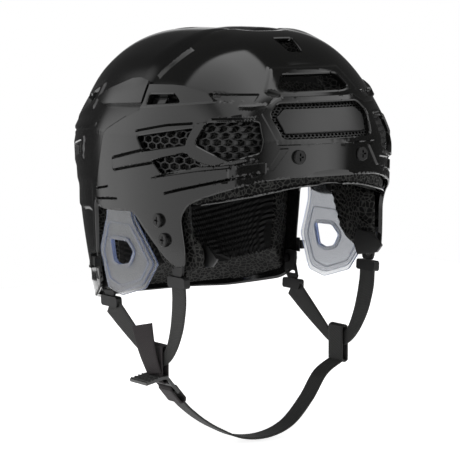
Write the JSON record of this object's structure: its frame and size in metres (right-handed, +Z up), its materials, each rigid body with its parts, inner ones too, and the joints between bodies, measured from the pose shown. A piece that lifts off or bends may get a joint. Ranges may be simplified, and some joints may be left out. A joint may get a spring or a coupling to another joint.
{
  "type": "ice hockey helmet",
  "caption": "Two-piece adjustable ice hockey helmet with foam liner, vents, clear ear guards, webbing, chin strap and buckle.",
  "frame": {"origin": "middle of the head space, on the middle plane at the level of the brow edge", "axes": "-Y forward out of the face opening, +X to the wearer's left, +Z up"},
  "size_m": [0.208, 0.2692, 0.3122],
  "materials": {
    "shell": "gloss",
    "rear_shell": "gloss",
    "lattice": "satin",
    "liner": "matte foam",
    "lip": "gloss",
    "screw": "satin black",
    "webbing": "woven",
    "fitting": "satin",
    "buckle": "satin",
    "tab": "satin",
    "clear_guard": "clear gloss"
  },
  "bodies": {
    "front": {"front_shell": "shell", "brow_lattice": "lattice", "brow_plate": "shell", "brow_pad": "liner", "brow_lip": "lip", "brow_screws": "screw", "brow_nuts": "screw", "temple_screws": "screw", "temple_nuts": "screw", "side_lattice_left": "lattice", "side_lattice_right": "lattice", "side_pad_left": "liner", "side_pad_right": "liner", "temple_pad_left": "liner", "temple_pad_right": "liner", "temple_tab_left": "tab", "temple_tab_right": "tab", "ear_guard_left": "clear_guard", "ear_guard_right": "clear_guard", "guard_studs_left": "fitting", "guard_studs_right": "fitting", "front_hanger_left": "fitting", "front_hanger_right": "fitting", "front_slider_left": "fitting", "front_slider_right": "fitting", "y_web_left": "webbing", "y_web_right": "webbing"},
    "rear": {"rear_shell": "rear_shell", "crown_pad": "liner", "nape_pad": "liner", "hanger_rivets": "screw", "rear_pad_left": "liner", "rear_pad_right": "liner", "rear_hanger_left": "fitting", "rear_hanger_right": "fitting", "rear_slider_left": "fitting", "rear_slider_right": "fitting", "latch_base_left": "fitting", "latch_base_right": "fitting"},
    "latch_left": {"latch_lever_left": "fitting"},
    "latch_right": {"latch_lever_right": "fitting"},
    "strap": {"chin_strap": "webbing", "strap_loop": "webbing", "strap_tail": "webbing", "strap_buckle": "buckle"}
  },
  "joints": [
    {"name": "size_slide", "type": "slide", "parent": "front", "child": "rear", "axis": [0, 1, 0], "range_m": [0, 0.012], "deforming": ["y_web_left", "y_web_right"]},
    {"name": "latch_left_turn", "type": "hinge", "parent": "rear", "child": "latch_left", "pos_m": [0.09448, 0.05298, -0.069], "axis": [0, 0, 1], "range_deg": [0, 75]},
    {"name": "latch_right_turn", "type": "hinge", "parent": "rear", "child": "latch_right", "pos_m": [-0.09448, 0.05298, -0.069], "axis": [0, 0, -1], "range_deg": [0, 75]},
    {"name": "chin_strap_swing", "type": "hinge", "parent": "front", "child": "strap", "pos_m": [0, -0.023, -0.1255], "axis": [1, 0, 0], "range_deg": [-25, 25]}
  ]
}
